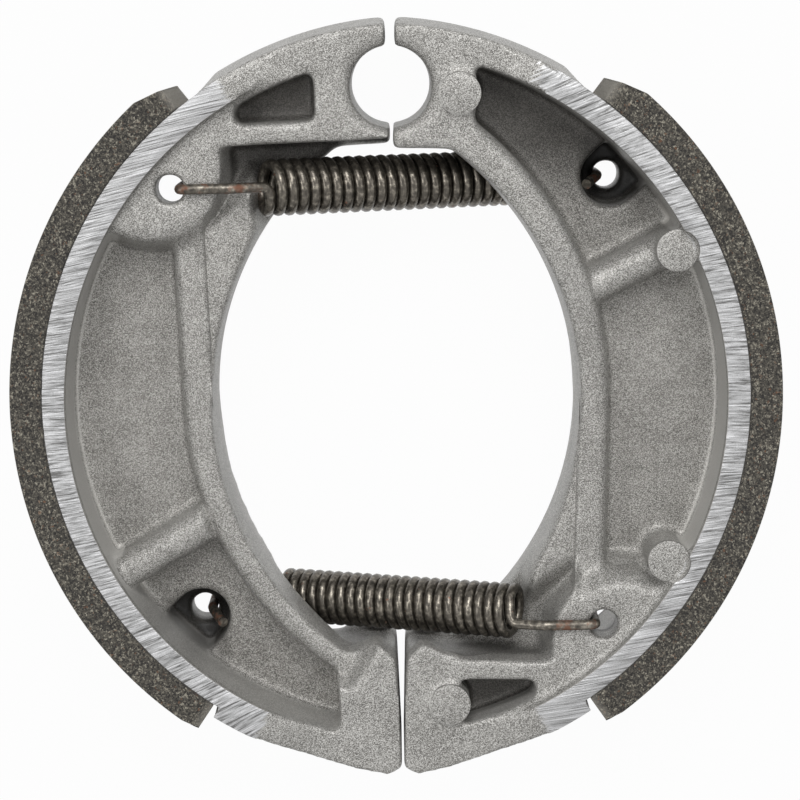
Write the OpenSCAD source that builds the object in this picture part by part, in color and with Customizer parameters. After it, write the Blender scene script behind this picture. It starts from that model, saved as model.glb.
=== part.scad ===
// A pair of drum brake shoes with bonded linings and two return springs.
// The origin is the middle of the anchor pin, half way through the width.
// The drum's axis is along Z, the anchor end is towards +Y and the cam end towards -Y.
// Each shoe is drawn in its own frame first: the lining's centre at the origin, the shoe
// to the left of it, and its first face up. The right shoe is the same casting turned over.

/* [Whole pair] */
// Diameter of the drum that the linings rub on
drum_d = 110; // [106:1:116]
// Width of the rim and the lining
shoe_w = 25; // [24:0.5:28]
// Angle that each shoe has swung inwards, with no cam between the ends
closed_a = 1.8; // [1.4:0.1:2.2]
// Gap that each shoe leaves to the middle plane where the two meet
half_gap = 0.16; // [0.1:0.02:0.4]

/* [Lining] */
// Thickness of the friction lining
lining_t = 4.35; // [3.5:0.05:5]
// Angle from the middle of the lining to each of its ends
lining_half_a = 54; // [50:0.5:56]
// Depth of the bevel at the anchor end
lead_bevel = 1.1; // [0.5:0.1:1.5]
// Length of the bevel at the anchor end
lead_bevel_l = 4.6; // [3:0.1:6]
// Depth of the bevel at the cam end
trail_bevel = 0.4; // [0.2:0.1:0.8]
// Length of the bevel at the cam end
trail_bevel_l = 3; // [2:0.1:4]
// Thickness of the glue under the lining
bond_t = 0.05; // [0.02:0.01:0.1]

/* [Rim] */
// Thickness of the rim at its edge
rim_t = 3; // [2.6:0.1:3.4]
// Angle from each end of the lining to the end of the rim's ground edge
ground_past_a = 7; // [5:0.5:9]
// Length over which the ground edge slopes down to the cast faces
ground_ramp_l = 8; // [6:0.5:10]
// Angle from the lining's anchor end to the ramp that ends its seat
ramp_past_a = 4; // [2:0.5:5]
// Slope of that ramp
ramp_slope = 25; // [14:1:30]
// Height of the anchor end's outer face above the lining's seat
anchor_step = 1.2; // [1:0.1:1.4]
// How much the anchor end's outer face stands back at the two cast faces
anchor_draft = 0.9; // [0.2:0.1:0.9]
// Angle from the lining's cam end to the step that ends its seat
cam_step_past_a = 1; // [0.5:0.5:2.5]
// Height of the cam end's outer face above the lining's seat
cam_step = 1.6; // [1.4:0.1:1.8]
// How much thicker the rim gets for each unit of depth below its edge
rim_draft_share = 0.02; // [0:0.005:0.06]

/* [Web and flange] */
// Drop from the rim's ground edge to the cast faces
face_drop = 1.8; // [1.2:0.1:2.2]
// Depth of the middle panel below the rim's edge
panel_depth = 9.5; // [8:0.1:10]
// Depth of the end hollow below the rim's edge
hollow_depth = 11; // [9.5:0.1:11.5]
// Radius of the inner edge, half way through the width
hub_r = 43.3; // [42:0.1:44]
// How much wider the inner edge gets for each unit of distance from the middle
hub_draft_share = 0.04; // [0.02:0.01:0.06]
// Distance from the lining's centre to the centre of the inner edge, across the shoe
hub_x = 15.8; // [15:0.1:16.5]
// Distance from the lining's centre to the centre of the inner edge, along the shoe
hub_y = 1.4; // [0:0.1:1.6]
// How far the hollows on both faces are set towards the cam end
face_shift = 0.4; // [0:0.1:0.6]
// Width of the flange along the inner edge
flange_w = 4.4; // [4:0.1:5.4]
// Rounding of the flange's top edge
flange_round = 1.6; // [0.8:0.1:2]
// Angle of the cross rib from the middle of the shoe
cross_a = 28.5; // [27:0.5:30]
// Width of the cross rib
cross_w = 5; // [4:0.1:6]
// Depth of the cross rib's crest below the rim's edge
cross_depth = 3.6; // [3:0.1:5]
// Distance from the middle plane to the near end of the end hollow
hollow_x = 12.6; // [12:0.1:14]

/* [Spring seats] */
// Distance of a spring hole from the lining's centre, across the shoe
hole_x = 31.6; // [31:0.1:32]
// Distance of a spring hole from the lining's centre, along the shoe
hole_y = 30.6; // [30:0.1:31]
// Radius of a spring hole
hole_r = 2; // [1.8:0.05:2.1]
// Radius of the well round a spring hole
well_r = 4; // [3.6:0.1:4.4]
// Depth of the well below the rim's edge
well_depth = 17; // [16:0.1:18]
// Radius of the raised boss face
boss_r = 9.4; // [9:0.1:9.8]
// How much wider the boss is at its foot
boss_draft = 2.2; // [0.5:0.1:2.5]
// Distance of the boss's centre from the lining's centre, across the shoe
boss_x = 34.3; // [34:0.1:34.5]
// Distance of the boss's centre from the lining's centre, along the shoe
boss_y = 33.1; // [32.5:0.1:33.5]
// Distance from the lining's centre to the outer end of the spring's recess
recess_x = 25; // [24.4:0.1:25.6]
// Distance from the lining's centre to the recess's side nearest the shoe's end
recess_y = 35.9; // [35.2:0.1:36.2]
// Room under a spring's coil
coil_clear = 0.4; // [0.3:0.05:0.6]

/* [Anchor end] */
// Radius of the anchor pin's bore
anchor_r = 5.5; // [5:0.1:6]
// Distance from the lining's centre to the anchor pin, along the shoe
anchor_y = 42.45; // [42:0.05:43]
// Distance from the lining's centre to the anchor pin, across the shoe
anchor_x = 1.15; // [0.9:0.05:1.4]
// Width of the chamfer at each end of the bore
anchor_chamfer = 1.2; // [0.6:0.1:1.6]
// Depth of that chamfer
anchor_chamfer_l = 0.8; // [0.4:0.1:1.2]
// Distance from the lining's centre to the inner side of both shoe ends
end_y = 34.2; // [33.8:0.1:34.8]
// Distance from the middle plane to the near side of the small pocket
pocket_x = 11.5; // [11:0.1:12.5]
// Distance from the middle plane to the far side of the small pocket
pocket_far_x = 22.3; // [21:0.1:23]
// Distance from the lining's centre to the inner side of the small pocket
pocket_y = 38.8; // [38.4:0.1:39.2]
// Wall between the small pocket and the outside
pocket_wall = 5; // [4:0.1:6]
// Depth of the small pocket below the rim's edge
pocket_depth = 8; // [5:0.1:9]

/* [Cam end] */
// Distance from the lining's centre to the end of the flat cam face
cam_y = 50.6; // [50:0.1:51.2]
// Radius of the nose past the cam face
nose_r = 2.1; // [1.6:0.1:2.6]
// Length of the nose's own back
nose_l = 4; // [3:0.5:5]
// Slope of the nose's own back
nose_slope = 12; // [8:1:16]
// Distance between the nose's round and its own back
nose_inset = 0.08; // [0.04:0.02:0.2]
// Angle from the middle of the shoe at which the outer face runs on straight to the nose
cam_back_a = 70; // [66:1:72]
// Length of that straight part
cam_back_l = 7.5; // [6:0.5:8]
// Size of the corner taken off the cam face's inner end
cam_corner = 2.2; // [1:0.1:3]
// Distance from the cam face to the top of the hump beside that corner
hump_w = 2.8; // [2.4:0.1:3.4]
// Length of the hump's slope down to the inner edge
hump_slope_l = 3; // [2:0.1:3.5]
// Height of the hump above the inner edge's end
hump_h = 1.4; // [0.8:0.1:1.8]

/* [Ejector marks] */
// Radius of a round ejector mark
mark_r = 2.85; // [2.4:0.05:3]
// Depth of a mark below the rim's edge
mark_depth = 1.2; // [0.8:0.1:1.6]
// Distance of the two outer marks from the lining's centre
mark_end_r = 43.4; // [43:0.1:44]
// Angle of the two outer marks from the middle of the shoe
mark_end_a = 76; // [75.5:0.5:77]
// Distance of the two inner marks from the lining's centre
mark_mid_r = 45.6; // [45:0.1:46]
// Angle of the two inner marks from the middle of the shoe
mark_mid_a = 28; // [27.5:0.5:28.5]

/* [Springs] */
// Diameter of the spring wire
wire_d = 1.42; // [1.3:0.02:1.5]
// Outside diameter of the coil
coil_d = 7.74; // [7.2:0.02:7.8]
// Number of turns in a coil
coil_turns = 23; // [21:2:23]
// Gap between the turns of the upper spring, which is stretched more
upper_turn_gap = 0.18; // [0.06:0.01:0.2]
// Gap between the turns of the lower spring
lower_turn_gap = 0.07; // [0.06:0.01:0.15]
// Distance that the upper spring's coil lies off the line of its hooks
upper_coil_off = 0.3; // [0:0.1:1]
// Distance that the lower spring's coil lies off the line of its hooks
lower_coil_off = 1; // [0:0.1:1]
// Distance that the upper spring's tips are bent off the same line
upper_tip_off = 1; // [0:0.1:1.2]
// Distance that the lower spring's tips are bent off it
lower_tip_off = 1.2; // [0:0.1:1.2]
// Gap between a hook's wire and the faces that it passes
hook_gap = 0.14; // [0.1:0.02:0.2]
// Radius of the bends in a hook
hook_bend = 1.1; // [0.9:0.05:1.15]

/* [Hidden] */

cast_colour = [0.60, 0.59, 0.56];
lining_colour = [0.30, 0.28, 0.26];
spring_colour = [0.33, 0.30, 0.27];

// Facets of a round form, sides of a spring's wire and rings in one turn of its coil
round_facets = 128;
small_facets = 48;
wire_sides = 8;
turn_rings = 14;
bend_rings = 5;

// Overrun of every cut, and a length that reaches past the whole shoe
over = 1;
span = drum_d;

half_w = shoe_w / 2;
face_z = half_w - face_drop;
lining_r = drum_d / 2;
seat_r = lining_r - lining_t - bond_t;
rim_in_r = seat_r - rim_t;
anchor_end_r = seat_r + anchor_step;
anchor_land = 0.1;
ground_half_a = lining_half_a + ground_past_a;
ramp_a = lining_half_a + ramp_past_a;
cam_step_a = lining_half_a + cam_step_past_a;
cam_end_r = seat_r + cam_step;
rib_x = hub_r + flange_w - hub_x;
rib_in_x = hub_r - hub_x;

// How far the closed shoe's meeting faces stand back, so that both clear the middle plane
lip_x = anchor_x + (anchor_y - end_y) * tan(closed_a) + half_gap;
cam_x = anchor_x + (anchor_y + cam_y) * tan(closed_a) + half_gap;

wire_r = wire_d / 2;
coil_r = (coil_d - wire_d) / 2;
hole_a = atan(hole_y / hole_x);

// Places of the spring holes on the left shoe, at the anchor end and at the cam end
function placed(p) = let (q = p + [anchor_x, -anchor_y])
  [q.x * cos(closed_a) - q.y * sin(closed_a), q.x * sin(closed_a) + q.y * cos(closed_a)];
upper_hole = placed([-hole_x, hole_y - face_shift]);
lower_hole = placed([-hole_x, -hole_y - face_shift]);

// A spring leans through the width, because its hooks lie over opposite faces
function spring_tilt(hole) = atan((face_z + wire_r) / -hole.x);

// Where the line of a spring's holes crosses the middle plane, in the shoe's own frame
function spring_mid_x(y) = anchor_x + (anchor_y - y + face_shift) * tan(closed_a);

// Places and depths in the shoe's own frame

// Removes a flat shape down to a depth below the rim's edge
module sink(depth) {
  translate([0, 0, half_w - depth])
    linear_extrude(depth + over)
      children();
}

// Turns a part of the shoe over, end for end
module turned_over() {
  rotate([180, 0, 0])
    children();
}

// Turns a shape that lies along -X to an angle from the middle of the shoe
module at_angle(a) {
  rotate([0, 0, -a])
    children();
}

module half_plane_left(x) {
  translate([-span - x, -span])
    square([span, 2 * span]);
}

module half_plane_above(y) {
  translate([-span, y])
    square([2 * span, span]);
}

// Part of a ring between an angle on the anchor side of the shoe's middle and one on the cam side
module ring_part(r_in, r_out, z_low, z_high, anchor_a, cam_a) {
  rotate([0, 0, 180 - anchor_a])
    rotate_extrude(angle = anchor_a + cam_a, $fn = round_facets)
      translate([r_in, z_low])
        square([r_out - r_in, z_high - z_low]);
}

// Outline of the whole casting, with the lining's seat at full height
module casting_outline() {
  difference() {
    union() {
      intersection() {
        circle(r = anchor_end_r, $fn = round_facets);
        half_plane_above(0);
      }
      intersection() {
        circle(r = cam_end_r, $fn = round_facets);
        mirror([0, 1])
          half_plane_above(0);
      }
      at_angle(-cam_back_a)
        translate([-cam_end_r, -cam_back_l])
          square([cam_corner, cam_back_l]);
      translate([-cam_x - nose_r, -cam_y]) {
        circle(r = nose_r, $fn = small_facets);
        rotate([0, 0, -nose_slope])
          translate([-nose_l, nose_inset - nose_r])
            square([nose_l, nose_r]);
      }
    }
    translate([-lip_x, 0])
      square([span, span]);
    translate([-cam_x, -span])
      square([span, span]);
    translate([-anchor_x, anchor_y])
      circle(r = anchor_r, $fn = small_facets);
    polygon([
      [-cam_x, -end_y],
      [-cam_x - cam_corner, -end_y],
      [-cam_x, -end_y - cam_corner]
    ]);
  }
}

// Side view of the hub's space: flat at the anchor end, with the cam block's hump at the other
module hub_limits() {
  difference() {
    translate([-span, -end_y - hump_h])
      square([2 * span, 2 * end_y + hump_h]);
    polygon([
      [-cam_x + span, -end_y - 2 * hump_h],
      [-cam_x + span, -end_y],
      [-cam_x - hump_w, -end_y],
      [-cam_x - hump_w - hump_slope_l, -end_y - hump_h],
      [-cam_x - hump_w - hump_slope_l, -end_y - 2 * hump_h]
    ]);
  }
}

// Space inside the inner edge, which opens towards both faces
module hub_space() {
  intersection() {
    translate([hub_x, -hub_y, 0])
      for (turn = [0, 180])
        rotate([turn, 0, 0])
          cylinder(h = half_w, r1 = hub_r, r2 = hub_r + hub_draft_share * half_w, $fn = round_facets);
    translate([0, 0, -half_w - over])
      linear_extrude(shoe_w + 2 * over)
        hub_limits();
  }
}

// Slope from an end of the ground edge down to the cast faces, and on below them
module ground_ramp() {
  rotate([0, -90, 0])
    translate([0, 0, rim_in_r - flange_round])
      linear_extrude(cam_end_r - rim_in_r + 2 * flange_round)
        polygon([
          [half_w, 0],
          [face_z - face_drop, 2 * ground_ramp_l],
          [face_drop - face_z, 2 * ground_ramp_l],
          [-half_w, 0]
        ]);
}

// Limits of the anchor end, whose outer face narrows from the middle plane to both faces
module anchor_taper() {
  for (turn = [0, 180])
    rotate([turn, 0, 0])
      cylinder(
        h = half_w,
        r1 = anchor_end_r + anchor_land,
        r2 = anchor_end_r + anchor_land - (anchor_draft + anchor_land) * half_w / face_z,
        $fn = round_facets
      );
  translate([-span, -span, -half_w])
    cube([2 * span, span, shoe_w]);
}

// The casting before its two faces are hollowed
module casting_blank() {
  difference() {
    intersection() {
      union() {
        translate([0, 0, -face_z])
          linear_extrude(2 * face_z)
            casting_outline();
        ring_part(rim_in_r - flange_round, cam_end_r, -half_w, half_w, ground_half_a, ground_half_a);
        intersection() {
          union() {
            at_angle(ground_half_a)
              ground_ramp();
            at_angle(-ground_half_a)
              mirror([0, 1, 0])
                ground_ramp();
          }
          translate([0, 0, -half_w])
            linear_extrude(shoe_w)
              casting_outline();
        }
      }
      anchor_taper();
    }
    ring_part(seat_r, lining_r, -half_w - over, half_w + over, ramp_a, cam_step_a);
    at_angle(ramp_a)
      translate([-seat_r, 0, -half_w - over])
        rotate([0, 0, ramp_slope])
          translate([-span, 0, 0])
            cube([span, span, shoe_w + 2 * over]);
    hub_space();
  }
}

// Space inside the rim, which narrows with depth
module rim_inside() {
  translate([0, 0, half_w - well_depth])
    cylinder(
      h = well_depth + over,
      r1 = rim_in_r - rim_draft_share * well_depth,
      r2 = rim_in_r + rim_draft_share * over,
      $fn = round_facets
    );
}

// Area outside the flange: straight beside the spring's shelf, curved along the other half
module outside_flange(grow) {
  difference() {
    half_plane_left(0);
    translate([-rib_x + grow, 0])
      square([span, span]);
    intersection() {
      translate([hub_x, 0])
        circle(r = hub_r + flange_w - grow, $fn = round_facets);
      mirror([0, 1])
        half_plane_above(0);
    }
  }
}

// Rounded top edge of the flange, on its straight half and its curved half
module flange_edge() {
  floor_z = half_w - hollow_depth - over;
  edge_z = face_z - flange_round;
  translate([-rib_x + flange_round, 0, edge_z])
    rotate([-90, 0, 0])
      cylinder(h = span, r = flange_round, $fn = small_facets);
  translate([-rib_x, 0, floor_z])
    cube([2 * flange_round, span, edge_z - floor_z]);
  translate([hub_x, 0, 0])
    rotate([0, 0, 180])
      rotate_extrude(angle = 90, $fn = round_facets) {
        translate([hub_r + flange_w - flange_round, edge_z])
          circle(r = flange_round, $fn = small_facets);
        translate([hub_r + flange_w - 2 * flange_round, floor_z])
          square([2 * flange_round, edge_z - floor_z]);
      }
}

// Rib from the flange to the rim, with a round crest
module cross_rib() {
  crest_z = half_w - cross_depth - cross_w / 2;
  at_angle(-cross_a) {
    translate([-span, 0, crest_z])
      rotate([0, 90, 0])
        cylinder(h = span, r = cross_w / 2, $fn = small_facets);
    translate([-span, -cross_w / 2, crest_z - hollow_depth])
      cube([span, cross_w, hollow_depth]);
  }
}

// Boss that carries the spring's hook
module boss() {
  translate([-boss_x, boss_y, half_w - hollow_depth])
    cylinder(h = hollow_depth, r1 = boss_r + boss_draft, r2 = boss_r, $fn = round_facets);
}

// Middle panel and end hollow of one face
module face_hollows() {
  sink(panel_depth)
    intersection() {
      outside_flange(flange_round);
      at_angle(-cross_a)
        half_plane_above(0);
    }
  sink(hollow_depth)
    intersection() {
      outside_flange(flange_round);
      half_plane_left(hollow_x);
      at_angle(-cross_a)
        mirror([0, 1])
          half_plane_above(0);
    }
}

// Ribs, flange and boss that stand in the hollows
module standing_parts() {
  flange_edge();
  cross_rib();
  boss();
  sink(hollow_depth)
    half_plane_above(boss_y);
}

// Everything on the near side of a spring's coil, from a distance off its axis
module before_coil(mid_x, tilt, distance) {
  translate([-mid_x, 0, 0])
    rotate([0, tilt, 0])
      translate([-span, 0, distance])
        cube([2 * span, recess_y, span]);
}

// Sloping shelf that lets a spring's coil pass
module spring_shelf(mid_x, tilt) {
  difference() {
    intersection() {
      before_coil(mid_x, tilt, -coil_d / 2 - coil_clear);
      translate([-rib_in_x, 0, -half_w])
        cube([rib_in_x, recess_y, shoe_w + over]);
    }
    boss();
    translate([-span - recess_x, boss_y, -half_w])
      cube([span, span, shoe_w]);
  }
}

// Lip of the cam block's hump that stays in front of the lower spring's coil
module hump_lip(mid_x, tilt) {
  intersection() {
    before_coil(mid_x, tilt, coil_d / 2 + coil_clear);
    translate([-cam_x - hump_w - hump_slope_l - hump_h, 0, 0])
      cube([span, span, half_w]);
  }
}

module small_pocket() {
  sink(pocket_depth)
    intersection() {
      circle(r = anchor_end_r - pocket_wall, $fn = round_facets);
      translate([-pocket_far_x, pocket_y])
        square([pocket_far_x - pocket_x, span]);
    }
}

// Well over the back of a boss, open towards the rim
module hole_well() {
  sink(well_depth)
    translate([-hole_x, -hole_y])
      at_angle(-hole_a) {
        circle(r = well_r, $fn = small_facets);
        translate([-span, -well_r])
          square([span, 2 * well_r]);
      }
}

// Everything that one face loses
module face_cuts(mid_x, tilt) {
  intersection() {
    rim_inside();
    union() {
      sink(face_drop)
        half_plane_left(0);
      difference() {
        face_hollows();
        standing_parts();
      }
      hole_well();
    }
  }
  spring_shelf(mid_x, tilt);
  small_pocket();
}

// Round marks on the second face, flush in the metal or on posts of their own
module mark_places() {
  for (side = [-1, 1]) {
    at_angle(side * mark_end_a)
      translate([-mark_end_r, 0, 0])
        children();
    at_angle(side * mark_mid_a)
      translate([-mark_mid_r, 0, 0])
        children();
  }
}

module mark_post() {
  mark_places()
    translate([0, 0, half_w - hollow_depth])
      cylinder(h = hollow_depth - mark_depth, r = mark_r, $fn = small_facets);
}

module mark_cut() {
  mark_places()
    translate([0, 0, half_w - mark_depth])
      cylinder(h = mark_depth + over, r = mark_r, $fn = small_facets);
}

module spring_holes() {
  for (side = [-1, 1])
    translate([-hole_x, side * hole_y, -half_w])
      cylinder(h = shoe_w, r = hole_r, $fn = small_facets);
}

// Chamfer at both ends of the anchor pin's bore
module bore_chamfers() {
  for (turn = [0, 180])
    translate([-anchor_x, anchor_y, 0])
      rotate([turn, 0, 0])
        translate([0, 0, face_z - anchor_chamfer_l])
          cylinder(
            h = 2 * anchor_chamfer_l,
            r1 = anchor_r,
            r2 = anchor_r + 2 * anchor_chamfer,
            $fn = small_facets
          );
}

module shoe() {
  color(cast_colour)
    difference() {
      union() {
        difference() {
          casting_blank();
          translate([0, -face_shift, 0]) {
            face_cuts(spring_mid_x(hole_y), spring_tilt(upper_hole));
            turned_over()
              difference() {
                face_cuts(spring_mid_x(-hole_y), spring_tilt(lower_hole));
                hump_lip(spring_mid_x(-hole_y), spring_tilt(lower_hole));
              }
          }
        }
        translate([0, -face_shift, 0])
          turned_over()
            mark_post();
      }
      translate([0, -face_shift, 0]) {
        turned_over()
          mark_cut();
        spring_holes();
      }
      bore_chamfers();
    }
}

// Wedge that bevels an end of the lining
module bevel_cut(a, depth, along) {
  at_angle(a)
    translate([-lining_r + depth, 0, -half_w - over])
      rotate([0, 0, sign(a) * -atan(depth / along)])
        translate([-span, -span / 2, 0])
          cube([span, span, shoe_w + 2 * over]);
}

module lining() {
  color(lining_colour)
    difference() {
      ring_part(seat_r + bond_t, lining_r, -half_w, half_w, lining_half_a, lining_half_a);
      bevel_cut(lining_half_a, lead_bevel, lead_bevel_l);
      bevel_cut(-lining_half_a, trail_bevel, trail_bevel_l);
    }
}

// Sets a shoe's own frame on the anchor pin, swung in to where the pair rests
module on_the_left() {
  rotate([0, 0, closed_a])
    translate([anchor_x, -anchor_y, 0])
      children();
}

module on_the_right() {
  rotate([0, 180, 0])
    on_the_left()
      children();
}

// Springs

// Points of a bend that replaces the corner q between p and r
function bend(p, q, r) =
  let (
    from = (p - q) / norm(p - q) * hook_bend,
    to = (r - q) / norm(r - q) * hook_bend
  )
  [for (i = [0:bend_rings]) let (t = i / bend_rings) q + pow(1 - t, 2) * from + t * t * to];

// Point on a coil after a number of turns from its middle
function coil_point(turns, pitch, tilt) =
  let (
    along = [-cos(tilt), 0, sin(tilt)],
    out = [sin(tilt), 0, cos(tilt)]
  )
  along * turns * pitch + coil_r * ([0, cos(360 * turns), 0] - out * sin(360 * turns));

// Wire from the coil's end to the hook's tip: over the boss, through the hole and inwards
function hook_points(start, reach, tilt, tip_off) =
  let (
    top_z = face_z + wire_r + hook_gap,
    tip_z = well_depth - half_w - wire_d,
    front = [start.x - sin(tilt) * wire_r, 0, start.z + cos(tilt) * wire_r],
    edge = [-reach + hole_x - boss_x + boss_r + hook_bend + wire_r, 0, top_z],
    over_hole = [-reach + hole_r - wire_r - hook_gap, 0, top_z],
    under_hole = [over_hole.x, 0, tip_z],
    tip_r = well_r - wire_r - hook_gap,
    tip = [-reach + sqrt(tip_r * tip_r - tip_off * tip_off), tip_off, tip_z - well_r]
  )
  concat(
    bend(start, front, edge),
    bend(front, edge, over_hole),
    bend(edge, over_hole, under_hole),
    bend(over_hole, under_hole, tip),
    [tip]
  );

function reversed(points) = [for (i = [len(points) - 1:-1:0]) points[i]];

// Half turn about Y, which takes one end of a spring to the other
function swapped(points) = [for (p = points) [-p.x, p.y, -p.z]];

function coil_points(pitch, tilt) =
  [for (i = [-coil_turns * turn_rings / 2:coil_turns * turn_rings / 2])
    coil_point(i / turn_rings, pitch, tilt)];

// The hook starts a sixth of a turn past the coil's last full turn
hook_turn_share = 1 / 6;

function spring_path(pitch, reach, coil_off, tip_off) =
  let (
    tilt = atan((face_z + wire_r) / reach),
    off = [0, -coil_off, 0],
    past = [for (i = [1:2]) coil_point(coil_turns / 2 + hook_turn_share * i / 2, pitch, tilt) + off],
    hook = concat(past, hook_points(past[1], reach, tilt, tip_off)),
    coil = [for (q = coil_points(pitch, tilt)) q + off]
  )
  concat(reversed(swapped(hook)), coil, hook);

function unit(v) = v / norm(v);

// Direction of the path at each point, and a side direction that turns as little as it can
function directions(path) =
  [for (i = [0:len(path) - 1])
    unit(path[min(i + 1, len(path) - 1)] - path[max(i - 1, 0)])];

function side_directions(dirs) =
  [for (
    i = 0, side = unit(cross(dirs[0], [1, 1, 0]));
    i < len(dirs);
    i = i + 1, side = i < len(dirs) ? unit(side - dirs[i] * (side * dirs[i])) : side
  ) side];

// Closed tube of the wire's diameter along a path
module wire_along(path) {
  dirs = directions(path);
  sides = side_directions(dirs);
  last = len(path) - 1;
  points = [
    for (i = [0:last], j = [0:wire_sides - 1])
      let (a = 360 * j / wire_sides)
      path[i] + wire_r * (sides[i] * cos(a) + cross(dirs[i], sides[i]) * sin(a))
  ];
  walls = [
    for (i = [0:last - 1], j = [0:wire_sides - 1])
      let (
        k = (j + 1) % wire_sides,
        here = i * wire_sides,
        next = here + wire_sides
      )
      each [[here + j, next + j, next + k], [here + j, next + k, here + k]]
  ];
  caps = [
    [for (j = [0:wire_sides - 1]) j],
    [for (j = [wire_sides - 1:-1:0]) last * wire_sides + j]
  ];
  polyhedron(points = points, faces = concat(walls, caps), convexity = 10);
}

module spring(hole, turn_gap, coil_off, tip_off) {
  color(spring_colour)
    translate([0, hole.y, 0])
      wire_along(spring_path(wire_d + turn_gap, -hole.x, coil_off, tip_off));
}

module left_shoe() {
  on_the_left()
    shoe();
}

module right_shoe() {
  on_the_right()
    shoe();
}

module left_lining() {
  on_the_left()
    lining();
}

module right_lining() {
  on_the_right()
    lining();
}

module upper_spring() {
  spring(upper_hole, upper_turn_gap, upper_coil_off, -upper_tip_off);
}

// The lower spring is the upper one turned half round, so that it leans the other way
module lower_spring() {
  translate([0, 2 * lower_hole.y, 0])
    rotate([0, 0, 180])
      spring(lower_hole, lower_turn_gap, lower_coil_off, lower_tip_off);
}

left_shoe();
right_shoe();
left_lining();
right_lining();
upper_spring();
lower_spring();
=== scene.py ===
import bpy
import bmesh
import math
from mathutils import Matrix, Vector


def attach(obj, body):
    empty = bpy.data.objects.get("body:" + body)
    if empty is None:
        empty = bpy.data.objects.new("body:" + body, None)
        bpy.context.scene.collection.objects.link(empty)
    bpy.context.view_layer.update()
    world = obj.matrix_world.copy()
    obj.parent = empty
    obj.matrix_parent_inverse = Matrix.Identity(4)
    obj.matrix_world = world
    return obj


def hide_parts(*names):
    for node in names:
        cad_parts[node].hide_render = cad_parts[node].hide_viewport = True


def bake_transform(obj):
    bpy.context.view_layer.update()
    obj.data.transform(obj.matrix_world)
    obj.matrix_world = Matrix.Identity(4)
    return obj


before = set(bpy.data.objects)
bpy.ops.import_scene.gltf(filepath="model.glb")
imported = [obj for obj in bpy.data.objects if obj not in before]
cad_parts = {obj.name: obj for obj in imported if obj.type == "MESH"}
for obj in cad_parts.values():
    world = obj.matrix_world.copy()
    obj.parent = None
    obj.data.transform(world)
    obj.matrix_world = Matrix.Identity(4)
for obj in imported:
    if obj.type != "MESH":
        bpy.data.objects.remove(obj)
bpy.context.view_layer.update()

mm = 0.001
turn = math.radians

# main sizes in millimetres, as the part's source has them
pair = {
    "liningR": 55.0, "seatR": 50.6, "rimInR": 47.6, "halfW": 12.5, "faceZ": 10.7, "shift": 0.4,
    "closedAngle": 1.8, "anchorX": 1.15, "anchorY": 42.45, "anchorR": 5.5,
    "holeR": 2.0, "wellDepth": 17.0, "wellR": 4.0,
}

# camera of the photograph: millimetres, degrees
view = {"place": (0.5, 8.68, 358.8), "tilt": 8.36, "roll": -1.07, "lens": 116.06, "sensor": 36}


def shoeMatrix(side):
    # from a shoe's own frame, with the lining's centre at its origin, to the pair's frame
    swung = Matrix.Rotation(turn(pair["closedAngle"]), 4, "Z")
    placed = swung @ Matrix.Translation(Vector((pair["anchorX"], -pair["anchorY"], 0)) * mm)
    if side == "right":
        placed = Matrix.Rotation(math.pi, 4, "Y") @ placed
    return placed


def linkedObject(name, data):
    made = bpy.data.objects.new(name, data)
    bpy.context.scene.collection.objects.link(made)
    return made


def objectFrom(bm, name):
    mesh = bpy.data.meshes.new(name)
    bm.to_mesh(mesh)
    bm.free()
    return linkedObject(name, mesh)


def mergedNode(node):
    # a CAD node's loose triangles, joined into one surface
    bm = bmesh.new()
    bm.from_mesh(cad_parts[node].data)
    bmesh.ops.remove_doubles(bm, verts=bm.verts, dist=0.001 * mm)
    return bm


def shapedMesh(source):
    # the mesh that a modifier or a curve's bevel makes; the object it comes from goes
    depsgraph = bpy.context.evaluated_depsgraph_get()
    mesh = bpy.data.meshes.new_from_object(source.evaluated_get(depsgraph))
    bpy.data.objects.remove(source)
    return mesh


def sharpEdges(bm, angle):
    return [edge for edge in bm.edges if edge.calc_face_angle(0) > turn(angle)]


def bevelEdges(bm, edges, width, segments=2):
    bmesh.ops.bevel(
        bm, geom=edges, offset=width * mm, segments=segments, profile=0.5, affect="EDGES",
        material=-1)


def smoothShading(piece, angle):
    # round surfaces shade smooth, and edges sharper than the angle stay crisp
    bm = bmesh.new()
    bm.from_mesh(piece.data)
    for face in bm.faces:
        face.smooth = True
    for edge in bm.edges:
        edge.smooth = len(edge.link_faces) == 2 and edge.calc_face_angle(0) < turn(angle)
    bm.to_mesh(piece.data)
    bm.free()


def putOn(piece, material):
    piece.data.materials.clear()
    piece.data.materials.append(material)


# Shader helpers

class Sum:
    # a shader value that takes part in Python arithmetic
    def __init__(self, tree, socket):
        self.tree = tree
        self.socket = socket

    def math(self, operation, *others, clamp=False):
        node = self.tree.nodes.new("ShaderNodeMath")
        node.operation = operation
        node.use_clamp = clamp
        for slot, item in zip(node.inputs, others):
            if isinstance(item, Sum):
                self.tree.links.new(item.socket, slot)
            else:
                slot.default_value = item
        return Sum(self.tree, node.outputs[0])

    def __add__(self, other):
        return self.math("ADD", self, other)

    def __radd__(self, other):
        return self.math("ADD", other, self)

    def __sub__(self, other):
        return self.math("SUBTRACT", self, other)

    def __rsub__(self, other):
        return self.math("SUBTRACT", other, self)

    def __mul__(self, other):
        return self.math("MULTIPLY", self, other)

    def __rmul__(self, other):
        return self.math("MULTIPLY", other, self)

    def __truediv__(self, other):
        return self.math("DIVIDE", self, other)

    def __pow__(self, other):
        return self.math("POWER", self, other)

    def __abs__(self):
        return self.math("ABSOLUTE", self)

    def over(self, low, high):
        # 0 below low, 1 above high, a straight slope between
        return self.math("DIVIDE", self - low, high - low, clamp=True)

    def within(self, low, high, soft):
        return self.over(low - soft, low) * (1 - self.over(high, high + soft))


def lengthOf(x, y):
    return (x * x + y * y) ** 0.5


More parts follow.
